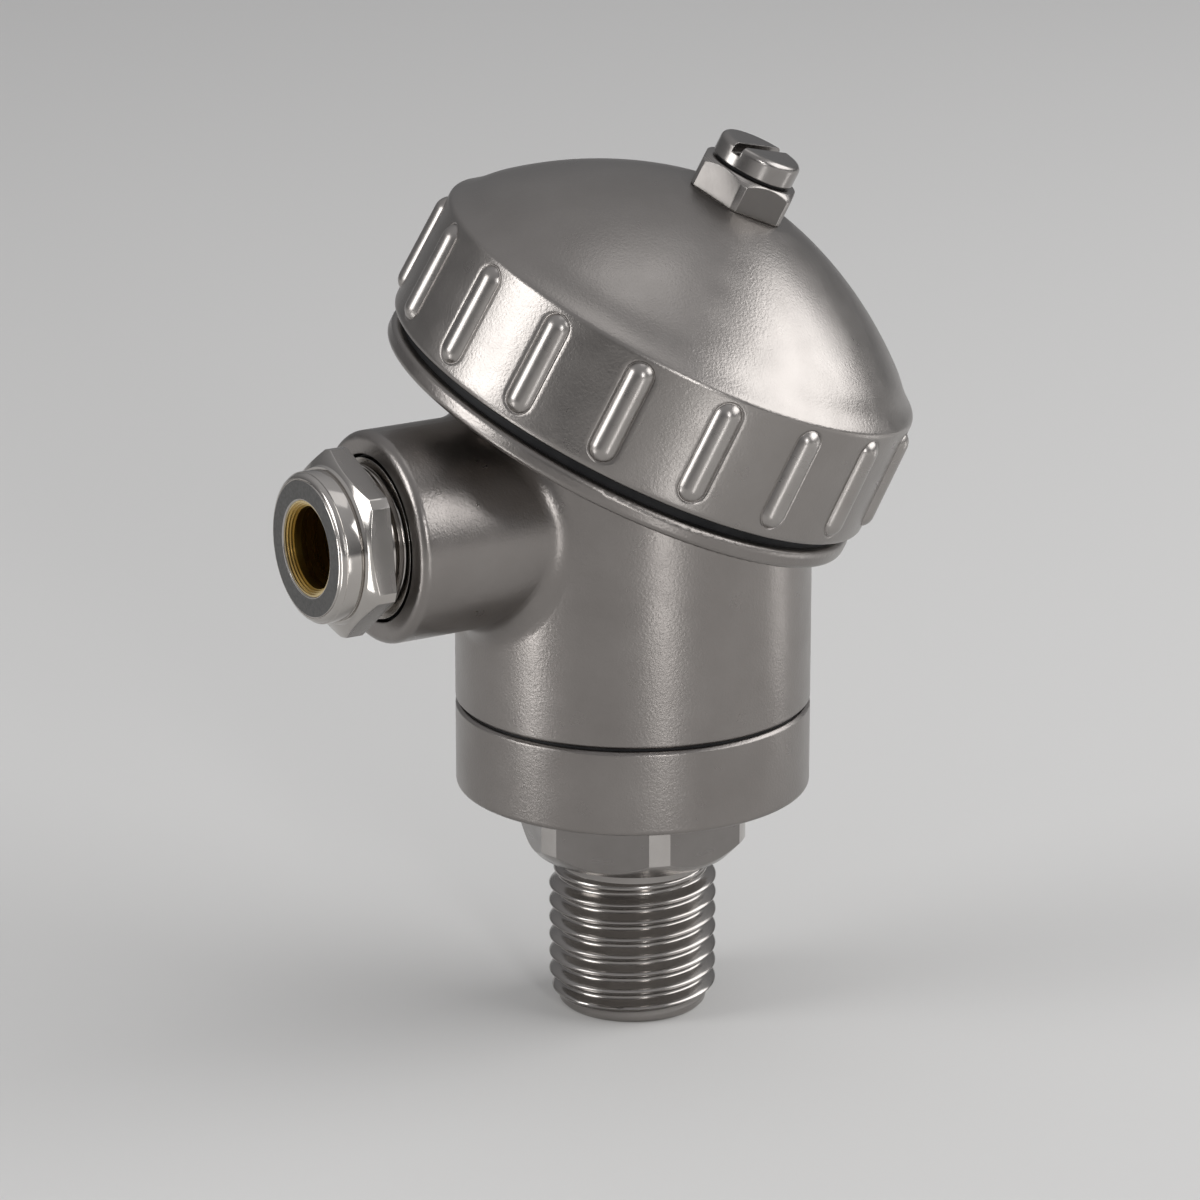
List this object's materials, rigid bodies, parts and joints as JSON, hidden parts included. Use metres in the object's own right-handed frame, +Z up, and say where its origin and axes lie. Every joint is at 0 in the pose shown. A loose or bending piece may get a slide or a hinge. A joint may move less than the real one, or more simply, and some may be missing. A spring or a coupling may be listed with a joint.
{
  "type": "thermocouple connection head",
  "caption": "Stainless steel thermocouple connection head with a leaning ribbed screw cap, a side cable gland and a male process thread; terminal block inside.",
  "frame": {"origin": "on the process thread's axis, level with the first full crest under the hexagon", "axes": "+Z up the body's axis, away from the process; the cap leans towards +X; the viewer of the picture is at -Y"},
  "size_m": [0.0762, 0.0654, 0.1115],
  "materials": {
    "cast_steel": "satin, bead-blasted stainless steel",
    "cap_steel": "satin, bead-blasted stainless steel",
    "ring_steel": "satin, bead-blasted stainless steel",
    "turned_steel": "fine-turned stainless steel",
    "screw_steel": "bright steel screws",
    "plated_brass": "nickel-plated brass, bright",
    "bare_brass": "bare brass",
    "dark_rubber": "black seal rubber",
    "white_ceramic": "glazed steatite ceramic"
  },
  "bodies": {
    "head": {"head_body": "cast_steel", "base_ring": "ring_steel", "base_seal": "dark_rubber", "process_fitting": "turned_steel", "gland_seal": "dark_rubber", "gland_grommet": "dark_rubber", "gland_slip_washer": "plated_brass", "terminal_block": "white_ceramic", "terminal_bar_plus": "bare_brass", "terminal_bar_minus": "bare_brass", "block_washers": "screw_steel", "block_screws": "screw_steel"},
    "cap_seal": {"cap_seal": "dark_rubber"},
    "cap": {"screw_cap": "cap_steel", "cap_nut": "turned_steel"},
    "cap_screw_washer": {"cap_screw_washer": "dark_rubber"},
    "cap_screw": {"cap_screw": "turned_steel"},
    "gland_ring": {"gland_ring": "plated_brass"},
    "gland": {"gland_nut": "plated_brass", "gland_bush": "bare_brass"},
    "clamp_plate_1": {"clamp_plate_1": "screw_steel"},
    "clamp_screw_1": {"clamp_screw_1": "screw_steel"},
    "clamp_plate_2": {"clamp_plate_2": "screw_steel"},
    "clamp_screw_2": {"clamp_screw_2": "screw_steel"},
    "clamp_plate_3": {"clamp_plate_3": "screw_steel"},
    "clamp_screw_3": {"clamp_screw_3": "screw_steel"},
    "clamp_plate_4": {"clamp_plate_4": "screw_steel"},
    "clamp_screw_4": {"clamp_screw_4": "screw_steel"}
  },
  "joints": [
    {"name": "cap_lift", "type": "slide", "parent": "head", "child": "cap_seal", "axis": [0.4384, 0, 0.8988], "range_m": [0, 0.008]},
    {"name": "cap_turn", "type": "hinge", "parent": "cap_seal", "child": "cap", "pos_m": [0, 0, 0.0615], "axis": [0.4384, 0, 0.8988], "range_deg": [0, 1440]},
    {"name": "cap_screw_lift", "type": "slide", "parent": "cap", "child": "cap_screw_washer", "axis": [0.4384, 0, 0.8988], "range_m": [0, 0.003]},
    {"name": "cap_screw_turn", "type": "hinge", "parent": "cap_screw_washer", "child": "cap_screw", "pos_m": [0.01315, 0, 0.08846], "axis": [0.4384, 0, 0.8988], "range_deg": [0, 1080.01]},
    {"name": "gland_travel", "type": "slide", "parent": "head", "child": "gland_ring", "axis": [-0.8192, -0.5736, 0], "range_m": [0, 0.0045]},
    {"name": "gland_turn", "type": "hinge", "parent": "gland_ring", "child": "gland", "pos_m": [-0.02949, -0.02065, 0.04985], "axis": [-0.8192, -0.5736, 0], "range_deg": [0, 1080.01]},
    {"name": "clamp_1_lift", "type": "slide", "parent": "head", "child": "clamp_plate_1", "axis": [0.4384, 0, 0.8988], "range_m": [0, 0.0015]},
    {"name": "clamp_1_turn", "type": "hinge", "parent": "clamp_plate_1", "child": "clamp_screw_1", "pos_m": [-0.00281, -0.0076, 0.074], "axis": [0.4384, 0, 0.8988], "range_deg": [0, 900.01]},
    {"name": "clamp_2_lift", "type": "slide", "parent": "head", "child": "clamp_plate_2", "axis": [0.4384, 0, 0.8988], "range_m": [0, 0.0015]},
    {"name": "clamp_2_turn", "type": "hinge", "parent": "clamp_plate_2", "child": "clamp_screw_2", "pos_m": [0.01157, -0.0076, 0.06698], "axis": [0.4384, 0, 0.8988], "range_deg": [0, 900.01]},
    {"name": "clamp_3_lift", "type": "slide", "parent": "head", "child": "clamp_plate_3", "axis": [0.4384, 0, 0.8988], "range_m": [0, 0.0015]},
    {"name": "clamp_3_turn", "type": "hinge", "parent": "clamp_plate_3", "child": "clamp_screw_3", "pos_m": [-0.00281, 0.0076, 0.074], "axis": [0.4384, 0, 0.8988], "range_deg": [0, 900.01]},
    {"name": "clamp_4_lift", "type": "slide", "parent": "head", "child": "clamp_plate_4", "axis": [0.4384, 0, 0.8988], "range_m": [0, 0.0015]},
    {"name": "clamp_4_turn", "type": "hinge", "parent": "clamp_plate_4", "child": "clamp_screw_4", "pos_m": [0.01157, 0.0076, 0.06698], "axis": [0.4384, 0, 0.8988], "range_deg": [0, 900.01]}
  ],
  "couplings": [
    {"joint": "cap_lift", "follows": "cap_turn", "m_per_rad": 0.00031831},
    {"joint": "cap_screw_turn", "follows": "cap_screw_lift", "rad_per_m": 6283.2},
    {"joint": "gland_turn", "follows": "gland_travel", "rad_per_m": 4188.8},
    {"joint": "clamp_1_turn", "follows": "clamp_1_lift", "rad_per_m": 10472},
    {"joint": "clamp_2_turn", "follows": "clamp_2_lift", "rad_per_m": 10472},
    {"joint": "clamp_3_turn", "follows": "clamp_3_lift", "rad_per_m": 10472},
    {"joint": "clamp_4_turn", "follows": "clamp_4_lift", "rad_per_m": 10472}
  ]
}
